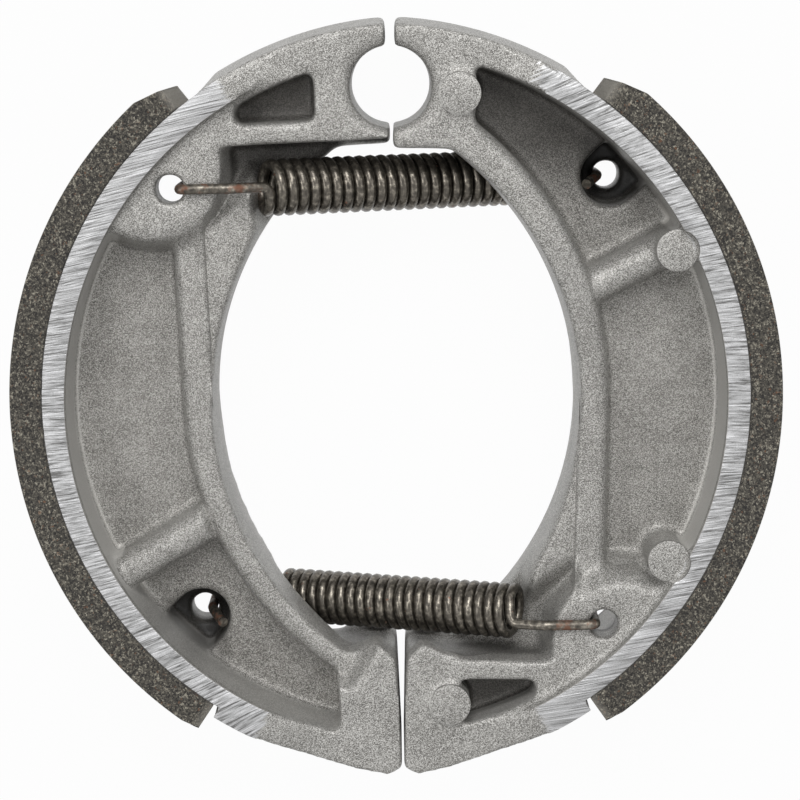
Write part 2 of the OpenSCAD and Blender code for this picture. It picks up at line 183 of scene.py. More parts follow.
def angleOf(x, y):
    # degrees from the middle of a shoe's lining, positive towards the anchor
    return x.math("ARCTAN2", y, 0 - x) / turn(1)


class Paint:
    # one material and the few ways of adding nodes to it
    def __init__(self, name):
        self.material = bpy.data.materials.new(name)
        self.material.use_nodes = True
        self.tree = self.material.node_tree
        self.surface = self.tree.nodes["Principled BSDF"]

    def node(self, kind, settings=None, sockets=None, out=0):
        made = self.tree.nodes.new("ShaderNode" + kind)
        for name, value in (settings or {}).items():
            if name == "stops":
                self.setStops(made.color_ramp, value)
            else:
                setattr(made, name, value)
        for name, value in (sockets or {}).items():
            self.join(value, made.inputs[name])
        return Sum(self.tree, made.outputs[out])

    def setStops(self, ramp, stops):
        while len(ramp.elements) < len(stops):
            ramp.elements.new(0.5)
        for element, (place, colour) in zip(ramp.elements, stops):
            element.position = place
            element.color = (*colour, 1)

    def join(self, value, slot):
        if isinstance(value, Sum):
            self.tree.links.new(value.socket, slot)
        elif slot.type == "RGBA" and len(value) == 3:
            slot.default_value = (*value, 1)
        else:
            slot.default_value = value

    def coords(self, scale=(1, 1, 1), rotation=(0, 0, 0), location=(0, 0, 0)):
        # object coordinates in millimetres
        place = self.node("TexCoord", out=3)
        return self.node("Mapping", {"vector_type": "POINT"}, {
            "Vector": place, "Scale": [value / mm for value in scale],
            "Rotation": rotation, "Location": location})

    def parts(self, vector):
        split = self.tree.nodes.new("ShaderNodeSeparateXYZ")
        self.join(vector, split.inputs[0])
        return [Sum(self.tree, socket) for socket in split.outputs]

    def facing(self):
        # how far a surface looks along Z, from -1 to 1
        return self.parts(self.node("NewGeometry", out=1))[2]

    def noise(self, vector, scale, detail=2.0, roughness=0.5, distortion=0.0, out=0):
        return self.node("TexNoise", {"noise_dimensions": "3D"}, {
            "Vector": vector, "Scale": scale, "Detail": detail,
            "Roughness": roughness, "Distortion": distortion}, out=out)

    def cells(self, vector, scale, out=0):
        return self.node("TexVoronoi", {"feature": "F1"}, {
            "Vector": vector, "Scale": scale, "Randomness": 1.0}, out=out)

    def blend(self, share, first, second, kind="MIX"):
        made = self.tree.nodes.new("ShaderNodeMix")
        made.data_type = "RGBA"
        made.blend_type = kind
        self.join(share, made.inputs[0])
        self.join(first, made.inputs[6])
        self.join(second, made.inputs[7])
        return Sum(self.tree, made.outputs[2])

    def ramp(self, value, stops):
        return self.node("ValToRGB", {"stops": stops}, {"Fac": value})

    def bump(self, height, depth, strength, under=None):
        # depth in millimetres
        sockets = {"Height": height, "Distance": depth * mm, "Strength": strength}
        if under is not None:
            sockets["Normal"] = under
        return self.node("Bump", {}, sockets)

    def finish(self, **sockets):
        for name, value in sockets.items():
            self.join(value, self.surface.inputs[name.replace("_", " ")])
        return self.material


def shoeCoords(paint, side):
    # a shoe's own frame; the right shoe is the same casting turned over
    flip = -1 if side == "right" else 1
    own = paint.coords(
        scale=(flip, 1, flip), rotation=(0, 0, -turn(pair["closedAngle"])),
        location=(-pair["anchorX"], pair["anchorY"], 0))
    return own, flip


# Materials: a pair of values is a band, where a shade starts and where it is whole

# ejector marks: round pads on the second face of both castings, placed by their distance
# from the lining's centre and their angle from its middle
marks = {
    "places": [(43.4, 76), (45.6, 28)], "radius": 2.85, "top": 11.36, "depth": 0.4,
    "edge": 0.07, "segments": 64, "sharpAngle": 60, "crisp": 30,
    "lineIn": 0.03, "lineOut": 0.05, "lineSoft": 0.06, "lineZ": (10, 10.2),
    "lineDark": 0.6, "lineLight": 0.7, "lightBand": (-0.5, 1.5),
}

# light and pale are also the colours of the painted highlights on the rim's wall and by the ejector
# marks
castFinish = {
    "grey": (0.29, 0.282, 0.264), "dark": (0.10, 0.096, 0.088), "light": (0.62, 0.61, 0.585),
    "pale": (0.80, 0.78, 0.74), "roughness": 0.42, "roughGrain": 0.4, "metallic": 0.32,
    "grain": 1.15, "grainScale": 9.0, "flecks": 0.85, "fleckScale": 11.0,
    "clouds": 0.4, "cloudScale": 0.22, "grainDepth": 0.05, "grainStrength": 0.6,
}

# painted shade in the hollows: darker floors by depth, at both ends and in the wells; "depth" is
# counted from the casting's face
hollows = {
    "shallowShade": {"colour": (0.45, 0.43, 0.40), "share": 0.4, "depth": (1.0, 9.0)},
    "floor": {"colour": (0.10, 0.095, 0.09), "share": 0.95, "depth": (11.0, 14.0)},
    "shade": (0.2, 0.19, 0.18), "endShare": 0.95,
    "anchorEnd": {"depth": (4.5, 6.0), "y": (24.0, 35.0), "secondFace": 0.9},
    "camEnd": {"depth": (3.5, 5.0), "y": (34.0, 38.0)},
    "outerWall": 1.0, "wallFade": 0.4, "tipX": (7.5, 9.0),
    "well": {"share": 0.8, "radius": (5.5, 7.5), "foot": (-7.5, -6.5), "mouth": (0.5, 3.0)},
}

# painted light on the rim's inner wall: its bands are counted from the wall's radius
wallHighlights = {
    "crest": 0.8, "crestBand": (-0.5, 0.3, 0.1), "crestZ": (12.0, 12.2),
    "wall": 0.3, "wallMiddle": 0.45, "wallBand": (-1.3, 0.4, 0.4), "wallZ": (10.9, 11.3),
    "footBand": (-1.8, -1.4), "footDepth": (7.0, 8.0), "middle": 28, "middleFade": 4,
}

# ground edge of the rim: scratches that lean over towards both ends, given by their angles
groundFinish = {
    "light": (0.70, 0.70, 0.71), "grey": (0.47, 0.47, 0.475), "dull": (0.32, 0.32, 0.32),
    "dark": (0.10, 0.098, 0.095), "roughness": 0.34, "middleR": 49.1,
    "lean": 0.462, "leanY": 40, "leanPower": 1.2, "scratch": 2.6, "wide": 0.5,
    "scratchDepth": 0.04, "scratchStrength": 0.7, "fromZ": (11.4, 11.5),
    "anchorEnds": (61.5, 65.0), "camEnd": 62.5, "anchorRagged": 6, "camRagged": 4,
}


class CastPlace:
    # where a point of a casting lies, as shader values in its own frame
    def __init__(self, paint, side):
        self.own, self.flip = shoeCoords(paint, side)
        self.x, self.y, self.z = paint.parts(self.own)
        upward = self.flip * paint.facing()
        self.depth = pair["faceZ"] - self.z * upward.math("SIGN", upward)
        self.shifted = self.y + pair["shift"]
        self.inside = lengthOf(self.x, self.shifted)
        self.fromRim = self.inside - pair["rimInR"]
        self.level = abs(upward)
        self.slanted = 1 - self.level.over(0.8, 0.95)


def markSpots():
    # how far each ejector mark lies outwards and towards the nearer end
    return [(distance * math.cos(turn(angle)), distance * math.sin(turn(angle)))
            for distance, angle in marks["places"]]


def shadedHollows(paint, at, colour):
    # painted shade: the floors of the hollows darken with depth, and the deepest are darkest
    for layer in (hollows["shallowShade"], hollows["floor"]):
        share = at.depth.over(*layer["depth"]) * at.level.over(0.5, 0.9) * layer["share"]
        colour = paint.blend(share, colour, layer["colour"], "MULTIPLY")

    # painted shade in the hollows at both ends, without the casting's outer walls
    anchorEnd, camEnd = hollows["anchorEnd"], hollows["camEnd"]
    interior = ((pair["seatR"] - hollows["outerWall"] - at.inside).over(0, hollows["wallFade"])
                * (0 - at.x).over(*hollows["tipX"]))
    faceShare = anchorEnd["secondFace"] + at.z.over(-1, 1) * (1 - anchorEnd["secondFace"])
    byAnchor = (at.depth.over(*anchorEnd["depth"]) * at.y.over(*anchorEnd["y"])
                * interior * faceShare)
    byCam = (at.depth.over(*camEnd["depth"]) * (0 - at.y).over(*camEnd["y"])
             * (0 - at.z).over(0, 1) * interior)
    ends = byAnchor.math("MAXIMUM", byAnchor, byCam) * hollows["endShare"]
    colour = paint.blend(ends, colour, hollows["shade"], "MULTIPLY")

    # painted shade in the wells behind the spring holes, down to the hole
    well = hollows["well"]
    towardsOpen = 0 - at.z * at.shifted.math("SIGN", at.shifted)
    fromHole = lengthOf(at.x + relief["bossX"], abs(at.shifted) - relief["bossY"])
    dark = ((1 - fromHole.over(*well["radius"])) * towardsOpen.over(*well["foot"])
            * (1 - towardsOpen.over(*well["mouth"])))
    return paint.blend(dark * well["share"], colour, hollows["shade"], "MULTIPLY")


def markLines(paint, at, colour):
    # thin dark flash line round the ejector marks, with a painted highlight along it on the side
    # away from the top lamp
    for outward, sideways in markSpots():
        besideX = at.x + outward
        besideY = abs(at.shifted) - sideways
        ring = lengthOf(besideX, besideY).within(
            marks["radius"] - marks["lineIn"], marks["radius"] + marks["lineOut"],
            marks["lineSoft"])
        line = ring * (0 - at.z).over(*marks["lineZ"])
        below = besideX - besideY * at.shifted.math("SIGN", at.shifted)
        colour = paint.blend(line * marks["lineDark"], colour, castFinish["dark"])
        lit = line * below.over(*marks["lightBand"]) * marks["lineLight"]
        colour = paint.blend(lit, colour, castFinish["light"])
    return colour


def rimWallHighlights(paint, at, colour):
    # painted highlight on the rim's crest, the wall painted lighter, most near the middle, and the
    # palest painted highlight on the fillet at its foot
    size = wallHighlights
    crest = at.fromRim.within(*size["crestBand"]) * abs(at.z).over(*size["crestZ"]) * at.slanted
    colour = paint.blend(crest * size["crest"], colour, castFinish["light"])
    wall = (at.fromRim.within(*size["wallBand"]) * (1 - at.level.over(0.3, 0.5))
            * (1 - abs(at.z).over(*size["wallZ"])))
    foot = at.fromRim.over(*size["footBand"]) * at.level.over(0.15, 0.35) * at.slanted
    middle = (size["middle"] - abs(at.shifted)).over(0, size["middleFade"])
    wallShare = wall * (size["wall"] + middle * size["wallMiddle"])
    colour = paint.blend(wallShare, colour, castFinish["light"])
    footShare = foot * middle * at.depth.over(*size["footDepth"])
    return paint.blend(footShare, colour, castFinish["pale"])


def groundScratches(paint, at):
    # the grinder's lines, and the mask of the flat ring that they lie on
    look = groundFinish
    lean = at.flip * look["lean"] * abs(at.y / look["leanY"]) ** look["leanPower"]
    across = lengthOf(at.x, at.y) - look["middleR"]
    lines = paint.node("CombineXYZ", {}, {
        "X": across * 0.3, "Y": (at.y + lean * across) * 5.5, "Z": at.z * 0.1})
    scratch = paint.noise(lines, 1.0, 3.0, 0.65, 0.3) - 0.5
    wide = paint.noise(lines, 0.3, 2.0, 0.5, 0.2) - 0.5
    scratches = scratch * look["scratch"] + wide * look["wide"]
    angle = angleOf(at.x, at.y)
    firstEnd, secondEnd = look["anchorEnds"]
    anchorEnd = firstEnd + (secondEnd - firstEnd) * (0 - at.z).over(-1, 1)
    ring = (abs(at.z).over(*look["fromZ"]) * at.level.over(0.75, 0.9)
            * at.fromRim.over(-0.02, 0.04)
            * (anchorEnd + scratch * look["anchorRagged"] - angle).over(0, 0.5)
            * (angle + look["camEnd"] + scratch * look["camRagged"]).over(0, 0.5))
    return scratches, ring


def castAluminium(side):
    look = castFinish
    paint = Paint("castAluminium_" + side)
    at = CastPlace(paint, side)

    # blasted grain: bright flecks and dark pits over softer clouds
    grain = paint.noise(at.own, look["grainScale"], 0.0, 0.5) - 0.5
    flecks = paint.parts(paint.cells(at.own, look["fleckScale"], out=1))[0] - 0.5
    clouds = paint.noise(at.own, look["cloudScale"], 3.0, 0.6) - 0.5
    tone = 0.5 + grain * look["grain"] + flecks * look["flecks"] + clouds * look["clouds"]
    colour = paint.ramp(tone, [(0.1, look["dark"]), (0.5, look["grey"]), (0.9, look["light"])])
    colour = shadedHollows(paint, at, colour)
    colour = markLines(paint, at, colour)
    colour = rimWallHighlights(paint, at, colour)

    ground = groundFinish
    scratches, ring = groundScratches(paint, at)
    brushed = paint.ramp(0.5 + scratches, [
        (0.1, ground["dark"]), (0.38, ground["dull"]), (0.6, ground["grey"]),
        (0.95, ground["light"])])
    colour = paint.blend(ring, colour, brushed)
    rough = look["roughness"] + grain * look["roughGrain"]
    rough = rough + ring * (ground["roughness"] - look["roughness"])
    castNormal = paint.bump(
        (grain + flecks * 0.6 + clouds * 0.5) * (1 - ring), look["grainDepth"],
        look["grainStrength"])
    bothNormal = paint.bump(
        scratches * ring, ground["scratchDepth"], ground["scratchStrength"], castNormal)
    return paint.finish(
        Base_Color=colour, Roughness=rough, Metallic=look["metallic"], Normal=bothNormal)


# crumbs: a colour, the band of the cells' tone that picks it, and its strength
liningFinish = {
    "body": (0.072, 0.066, 0.055), "dark": (0.012, 0.011, 0.010), "pale": (0.42, 0.39, 0.32),
    "sandy": (0.14, 0.128, 0.104), "rust": (0.20, 0.10, 0.055), "skin": (0.36, 0.34, 0.30),
    "glue": (0.02, 0.018, 0.016), "sawn": (0.02, 0.02, 0.02), "roughness": 0.82,
    "speckle": 1.7, "speckleScale": 2.2, "fine": 0.7, "fineScale": 5.0, "chipScale": 2.4,
    "crumbs": [("pale", (0.7, 0.73), 0.9), ("dark", (0.66, 0.7), 0.95),
               ("rust", (0.88, 0.9), 0.7)],
    "endAngle": (52.6, 53.8), "endSkin": 0.6, "skinShare": 0.8,
    "glueBand": (0.12, 0.3), "glueShare": 0.6, "reliefDepth": 0.4, "reliefStrength": 0.7,
}


def frictionMaterial(side):
    look = liningFinish
    paint = Paint("frictionLining_" + side)
    own = shoeCoords(paint, side)[0]
    x, y, z = paint.parts(own)

    # pressed fibres: a dark binder with cream, black and rusty crumbs
    speckle = paint.noise(own, look["speckleScale"], 4.0, 0.7) - 0.5
    fine = paint.parts(paint.cells(own, look["fineScale"], out=1))[1] - 0.5
    binder = 0.45 + speckle * look["speckle"] + fine * look["fine"]
    colour = paint.ramp(binder, [
        (0.1, look["dark"]), (0.45, look["body"]), (0.7, look["sandy"]), (0.95, look["pale"])])
    wavy = paint.node("VectorMath", {"operation": "ADD"}, {
        0: own, 1: paint.noise(own, 3.0, 1.0, 0.5, out=1)})
    chips = paint.cells(wavy, look["chipScale"])
    chipTones = paint.parts(paint.cells(wavy, look["chipScale"], out=1))
    crumb = 1 - chips.over(0.28, 0.4)
    for tone, (name, band, share) in zip(chipTones, look["crumbs"]):
        colour = paint.blend(crumb * tone.over(*band) * share, colour, look[name])

    # the moulded ends and the drum's side are paler, and glue has run out along the seat
    skin = 1 - abs(paint.facing()).over(0.6, 0.8)
    ending = abs(angleOf(x, y)).over(*look["endAngle"]) * look["endSkin"]
    pale = skin.math("MAXIMUM", skin, ending) * look["skinShare"]
    colour = paint.blend(pale, colour, look["skin"])
    glueStart, glueEnd = look["glueBand"]
    glue = 1 - lengthOf(x, y).over(pair["seatR"] + glueStart, pair["seatR"] + glueEnd)
    colour = paint.blend(glue * look["glueShare"], colour, look["glue"])
    sawn = paint.node("CombineXYZ", {}, {"X": x * 0.3, "Y": y * 5.0, "Z": z * 0.3})
    sawLines = (paint.noise(sawn, 1.0, 2.0, 0.5) - 0.4) * 0.5
    colour = paint.blend(sawLines, colour, look["sawn"])
    normal = paint.bump(
        speckle + fine * 0.5 + chips * 0.4, look["reliefDepth"], look["reliefStrength"])
    return paint.finish(
        Base_Color=colour, Roughness=look["roughness"], Metallic=0.0, Normal=normal)


# the hooks are duller and rustier than the coils
springFinish = {
    "oxide": (0.115, 0.103, 0.086), "dark": (0.05, 0.045, 0.038), "worn": (0.34, 0.31, 0.26),
    "rust": (0.20, 0.085, 0.05), "roughness": 0.27, "metallic": 0.75,
    "streakScale": 1.6, "streakDepth": 0.05, "patchScale": 0.55, "hookX": (17.5, 20.5),
    "hookRust": (0.5, 0.62), "coilRust": (0.70, 0.73), "coilShare": 0.8, "rustShare": 0.7,
    "hookRough": 0.14, "rustRough": 0.3,
}


def springSteel():
    look = springFinish
    paint = Paint("springSteel")
    place = paint.coords()
    streaks = paint.noise(place, look["streakScale"], 4.0, 0.6)
    colour = paint.ramp(streaks, [(0.3, look["dark"]), (0.52, look["oxide"]), (0.75, look["worn"])])
    hook = abs(paint.parts(place)[0]).over(*look["hookX"])
    patches = paint.noise(place, look["patchScale"], 3.0, 0.6)
    rusty = (patches.over(*look["hookRust"]) * hook
             + patches.over(*look["coilRust"]) * (1 - hook) * look["coilShare"])
    colour = paint.blend(rusty * look["rustShare"], colour, look["rust"])
    rough = look["roughness"] + hook * look["hookRough"] + rusty * look["rustRough"]
    normal = paint.bump(streaks, look["streakDepth"], 0.5)
    return paint.finish(
        Base_Color=colour, Roughness=rough, Metallic=look["metallic"], Normal=normal)


# Castings: the CAD shape with the soft corners of a die casting

casting = {
    "voxel": 0.445, "crisp": 42,
    "passes": {"machined": 0, "rim": 3, "marks": 2, "outside": 5, "cam": 3, "rest": 9},
}


def castingMesh(node):
    source = objectFrom(mergedNode(node), "castingSource")
    skin = source.modifiers.new("skin", "REMESH")
    skin.mode = "VOXEL"
    skin.voxel_size = casting["voxel"] * mm
    return shapedMesh(source)


# the flange lies lower than the boss, and a ledge runs beside it up to the spring's shelf;
# bossR and ledgeEnd have one value for each face
relief = {
    "bossX": 34.1, "bossY": 33.6, "bossR": (9.2, 8.4), "bossReach": 12.5, "slope": 2.6,
    "drop": 2.7, "dropBand": (4, 10), "lowest": 2.5, "topBand": (31, 33),
    "flangeX": 32.1, "flangeR": 47.9, "hubX": 15.8, "camBand": (55.0, 56.5),
    "secondBand": (2, 24), "innerX": 27.8, "shelfRise": 0.38, "shelfDown": 5.15,
    "shelfGap": 0.6, "ledge": 7.3, "ledgeStart": (0, 5), "ledgeEnd": (24.8, 22.0),
    "ledgeFade": 4.4, "ledgeLean": 0.78, "ledgeX": 26.3,
}


def shareBetween(value, low, high):
    share = min(1.0, max(0.0, (value - low) / (high - low)))
    return share * share * (3 - 2 * share)


def withRelief(place):
    # the place of a casting's point once the flange, its ledge and the boss have their heights
    size = relief
    face, kind = (1, 0) if place.z > 0 else (-1, 1)
    x, y, height = place.x, face * (place.y + pair["shift"]), abs(place.z)
    away = math.hypot(x + size["bossX"], y - size["bossY"])
    if y > 0:
        inFlange = x > -size["flangeX"]
    else:
        inFlange = math.hypot(x - size["hubX"], y) < size["flangeR"]
    inRim = math.hypot(place.x, place.y) > pair["rimInR"] - 1
    if height < size["lowest"] or inRim or y > size["topBand"][1]:
        return place
    if not inFlange and away > size["bossReach"]:
        return place
    boss = shareBetween(away, size["bossR"][kind], size["bossR"][kind] + size["slope"])
    if face > 0:
        hubAngle = math.degrees(math.atan2(-y, size["hubX"] - x))
        far = 1 - shareBetween(hubAngle, *size["camBand"])
    else:
        far = 1 - shareBetween(-y, *size["secondBand"])
    far *= 1 - shareBetween(y, *size["topBand"])
    lower = height - size["drop"] * boss * far * shareBetween(height, *size["dropBand"])
    shelf = -x * size["shelfRise"] - size["shelfDown"]
    if x > -size["innerX"] and y > 0 and height > shelf - size["shelfGap"]:
        end = size["ledgeEnd"][kind]
        along = y - size["ledgeLean"] * (x + size["ledgeX"])
        share = shareBetween(y, *size["ledgeStart"])
        share *= 1 - shareBetween(along, end, end + size["ledgeFade"])
        lower = max(lower, height + (size["ledge"] - height) * share * boss)
    return Vector((place.x, place.y, face * lower))


# borders of a casting's zones, and how near to a surface a point counts as lying on it
zoneSize = {
    "groundAngle": 63, "groundNear": 0.25, "groundDrop": 0.08, "seatAngles": (-56, 57),
    "seatIn": 0.3, "seatOut": 0.4, "boreNear": 0.3, "faceNear": 1.5, "rimNear": 1.2,
    "markFace": 0.2, "markNear": 0.5, "camY": -38, "camX": -13, "outsideR": 49.3, "hornR": 9,
}


def zoneOf(place):
    # machined surfaces stay as drawn, the outside is a little soft and the hollows are softest
    size = zoneSize
    radius = math.hypot(place.x, place.y)
    angle = math.degrees(math.atan2(place.y, -place.x))
    seatLow, seatHigh = size["seatAngles"]
    if abs(place.z) > pair["halfW"] - size["groundNear"] and abs(angle) < size["groundAngle"]:
        return "machined"
    if radius > pair["seatR"] - size["seatIn"] and seatLow < angle < seatHigh:
        return "machined"
    bore = math.hypot(place.x + pair["anchorX"], place.y - pair["anchorY"])
    nearFace = abs(place.z) > pair["faceZ"] - size["faceNear"]
    if bore < pair["anchorR"] + size["boreNear"] and not nearFace:
        return "machined"
    if nearFace and radius > pair["rimInR"] - size["rimNear"]:
        return "rim"
    if place.z < -pair["faceZ"] + size["markFace"]:
        for outward, sideways in markSpots():
            away = math.hypot(place.x + outward, abs(place.y + pair["shift"]) - sideways)
            if away < marks["radius"] + size["markNear"]:
                return "marks"
    if place.y < size["camY"] and place.x > size["camX"]:
        return "cam"
    return "outside" if radius > size["outsideR"] or bore < size["hornR"] else "rest"


def trueUp(vert, place, back):
    # moves a machined point from the voxel grid onto its plane or its cylinder
    radius = math.hypot(place.x, place.y)
    flat = place.copy()
    if abs(place.z) > pair["halfW"] - zoneSize["groundNear"]:
        flat.z = math.copysign(pair["halfW"] - zoneSize["groundDrop"], place.z)
    if -zoneSize["seatIn"] < radius - pair["seatR"] < zoneSize["seatOut"]:
        flat.x *= pair["seatR"] / radius
        flat.y *= pair["seatR"] / radius
    vert.co = back @ (flat * mm)


def makeCasting(side):
    back = shoeMatrix(side)
    toOwn = back.inverted()
    bm = bmesh.new()
    bm.from_mesh(castingMesh(side + "_shoe"))
    places = {vert: withRelief((toOwn @ vert.co) / mm) for vert in bm.verts}
    for vert, place in places.items():
        vert.co = back @ (place * mm)
    zones = {vert: zoneOf(place) for vert, place in places.items()}
    passes = {vert: casting["passes"][zone] for vert, zone in zones.items()}
    for step in range(max(casting["passes"].values())):
        moving = [vert for vert, count in passes.items() if count > step]
        bmesh.ops.smooth_vert(
            bm, verts=moving, factor=0.5, use_axis_x=True, use_axis_y=True, use_axis_z=True)
    for vert, zone in zones.items():
        if zone == "machined":
            trueUp(vert, places[vert], back)
    piece = objectFrom(bm, side + "Casting")
    smoothShading(piece, casting["crisp"])
    putOn(piece, castAluminium(side))
    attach(piece, side)
    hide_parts(side + "_shoe")
    return piece


# Ground edge of the rim: the flat ring that the grinder left, sharp on both sides

groundEdge = {"from": 12.2, "bevel": 0.13, "sharpAngle": 40, "crisp": 30}


def makeGroundEdge(side, face):
    bm = mergedNode(side + "_shoe")
    bmesh.ops.bisect_plane(
        bm, geom=bm.verts[:] + bm.edges[:] + bm.faces[:], dist=1e-8,
        plane_co=(0, 0, face * groundEdge["from"] * mm), plane_no=(0, 0, -face),
        clear_outer=True)
    bmesh.ops.dissolve_limit(
        bm, angle_limit=turn(0.5), use_dissolve_boundaries=False, verts=bm.verts,
        edges=bm.edges)
    bevelEdges(bm, sharpEdges(bm, groundEdge["sharpAngle"]), groundEdge["bevel"])
    piece = objectFrom(bm, side + "GroundEdge" + ("Top" if face > 0 else "Bottom"))
    smoothShading(piece, groundEdge["crisp"])
    putOn(piece, bpy.data.materials["castAluminium_" + side])
    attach(piece, side)
    return piece


def makeMarks(side):
    bm = bmesh.new()
    middleZ = -marks["top"] + marks["depth"] / 2
    for outward, sideways in markSpots():
        for end in (-1, 1):
            spot = Vector((-outward, end * sideways - pair["shift"], middleZ))
            bmesh.ops.create_cone(
                bm, cap_ends=True, segments=marks["segments"], radius1=marks["radius"] * mm,
                radius2=marks["radius"] * mm, depth=marks["depth"] * mm,
                matrix=shoeMatrix(side) @ Matrix.Translation(spot * mm))
    bevelEdges(bm, sharpEdges(bm, marks["sharpAngle"]), marks["edge"])
    piece = objectFrom(bm, side + "EjectorMarks")
    smoothShading(piece, marks["crisp"])
    putOn(piece, bpy.data.materials["castAluminium_" + side])
    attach(piece, side)
    return piece


# Linings: a moulded block, ground to the drum and bevelled at its ends

lining = {
    "halfAngle": 54.0, "steps": 150, "cuts": 9, "inner": 50.65, "leadBevel": 1.1,
    "leadLength": 4.6, "trailBevel": 0.4, "trailLength": 3.0, "edge": 0.14, "edgeAngle": 12,
    "corner": 0.9, "cornerAngle": 30, "cornerSegments": 5, "crisp": 35,
}


def sweepBlock(bm):
    # a section across the lining, swept round the drum's axis
    size = lining
    thick = pair["liningR"] - size["inner"]
    bmesh.ops.create_grid(bm, x_segments=1, y_segments=1, size=0.5)
    bmesh.ops.delete(bm, geom=bm.faces[:], context="FACES_ONLY")
    bmesh.ops.subdivide_edges(bm, edges=bm.edges[:], cuts=size["cuts"])
    bmesh.ops.scale(bm, vec=Vector((thick, 2 * pair["halfW"], 1)) * mm, verts=bm.verts)
    upright = Matrix.Rotation(turn(90), 3, "X")
    bmesh.ops.rotate(bm, verts=bm.verts, cent=(0, 0, 0), matrix=upright)
    outwards = Vector((-(size["inner"] + thick / 2), 0, 0)) * mm
    bmesh.ops.translate(bm, verts=bm.verts, vec=outwards)
    toEnd = Matrix.Rotation(turn(-size["halfAngle"]), 3, "Z")
    bmesh.ops.rotate(bm, verts=bm.verts, cent=(0, 0, 0), matrix=toEnd)
    start = bm.edges[:]
    swept = bmesh.ops.spin(
        bm, geom=bm.verts[:] + start, cent=(0, 0, 0), axis=(0, 0, 1), dvec=(0, 0, 0),
        angle=turn(2 * size["halfAngle"]), steps=size["steps"], use_merge=False)
    last = [item for item in swept["geom_last"] if isinstance(item, bmesh.types.BMEdge)]
    bmesh.ops.edgenet_fill(bm, edges=start)
    bmesh.ops.edgenet_fill(bm, edges=last)


def cutEnd(bm, end, depth, length):
    # takes a wedge off the drum's side at one end, and closes the cut
    angle = end * turn(lining["halfAngle"])
    facing = Matrix.Rotation(-angle, 3, "Z")
    point = facing @ Vector((-pair["liningR"] + depth, 0, 0)) * mm
    slope = end * math.atan(depth / length)
    outward = facing @ Matrix.Rotation(-slope, 3, "Z") @ Vector((-1, 0, 0))
    cut = bmesh.ops.bisect_plane(
        bm, geom=bm.verts[:] + bm.edges[:] + bm.faces[:], dist=1e-7, plane_co=point,
        plane_no=outward, clear_outer=True)
    rim = [item for item in cut["geom_cut"] if isinstance(item, bmesh.types.BMEdge)]
    bmesh.ops.edgenet_fill(bm, edges=rim)


def makeLining(side):
    size = lining
    bm = bmesh.new()
    sweepBlock(bm)
    # the anchor end is at a positive angle from the middle
    cutEnd(bm, 1, size["leadBevel"], size["leadLength"])
    cutEnd(bm, -1, size["trailBevel"], size["trailLength"])
    bmesh.ops.recalc_face_normals(bm, faces=bm.faces)
    corners = [edge for edge in sharpEdges(bm, size["cornerAngle"])
               if edge.calc_length() > pair["halfW"] * mm
               and edge.verts[0].co.xy.length > (size["inner"] + 1) * mm]
    bevelEdges(bm, corners, size["corner"], size["cornerSegments"])
    bmesh.ops.transform(bm, matrix=shoeMatrix(side), verts=bm.verts)
    bevelEdges(bm, sharpEdges(bm, size["edgeAngle"]), size["edge"])
    piece = objectFrom(bm, side + "Lining")
    smoothShading(piece, size["crisp"])
    putOn(piece, frictionMaterial(side))
    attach(piece, side)
    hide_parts(side + "_lining")
    return piece


# Springs: closed coils whose end hooks reach over one boss each

spring = {
    "wire": 1.42, "coilD": 7.74, "turns": 23, "steps": 32, "hookTurn": 1 / 6, "gap": 0.14,
    "bend": 1.1, "bendSteps": 8, "bossEnd": 6.7, "closeShare": 0.8, "crisp": 40,
}
upper = {
    "hole": (-29.86, -13.19), "turnGap": 0.18, "coilOff": 0.3, "tipOff": -1.0, "turned": False,
}
lower = {
    "hole": (-28.1, -74.16), "turnGap": 0.07, "coilOff": 1.0, "tipOff": 1.2, "turned": True,
}


def bendPoints(before, corner, after):
    start = (before - corner).normalized() * spring["bend"]
    end = (after - corner).normalized() * spring["bend"]
    shares = [step / spring["bendSteps"] for step in range(spring["bendSteps"] + 1)]
    return [corner + start * (1 - share) ** 2 + end * share ** 2 for share in shares]


def coilPoints(look, tilt, firstTurn, lastTurn, steps):
    # points of the leaning coil between two turns, counted from its middle
    pitch = spring["wire"] + look["turnGap"]
    coilR = (spring["coilD"] - spring["wire"]) / 2
    along = Vector((-math.cos(tilt), 0, math.sin(tilt)))
    out = Vector((math.sin(tilt), 0, math.cos(tilt)))
    off = Vector((0, -look["coilOff"], 0))
    points = []
    for step in range(steps + 1):
        turns = firstTurn + (lastTurn - firstTurn) * step / steps
        angle = math.tau * turns
        ring = Vector((0, math.cos(angle), 0)) - out * math.sin(angle)
        points.append(along * turns * pitch + ring * coilR + off)
    return points


def hookPoints(look, tilt, past):
    # from the last turn over the boss, down through its hole and round in the well
    reach = -look["hole"][0]
    wireR = spring["wire"] / 2
    begin = past[-1]
    topZ = pair["faceZ"] + wireR + spring["gap"]
    tipZ = pair["wellDepth"] - pair["halfW"] - spring["wire"]
    front = Vector((begin.x - math.sin(tilt) * wireR, 0, begin.z + math.cos(tilt) * wireR))
    holeX = -reach + pair["holeR"] - wireR - spring["gap"]
    edge = Vector((-reach + spring["bossEnd"] + spring["bend"] + wireR, 0, topZ))
    overHole = Vector((holeX, 0, topZ))
    underHole = Vector((holeX, 0, tipZ))
    tipR = pair["wellR"] - wireR - spring["gap"]
    tipX = math.sqrt(tipR ** 2 - look["tipOff"] ** 2) - reach
    tip = Vector((tipX, look["tipOff"], tipZ - pair["wellR"]))
    corners = [begin, front, edge, overHole, underHole, tip]
    hook = past[:-1]
    for before, corner, after in zip(corners, corners[1:], corners[2:]):
        hook += bendPoints(before, corner, after)
    return hook + [tip]


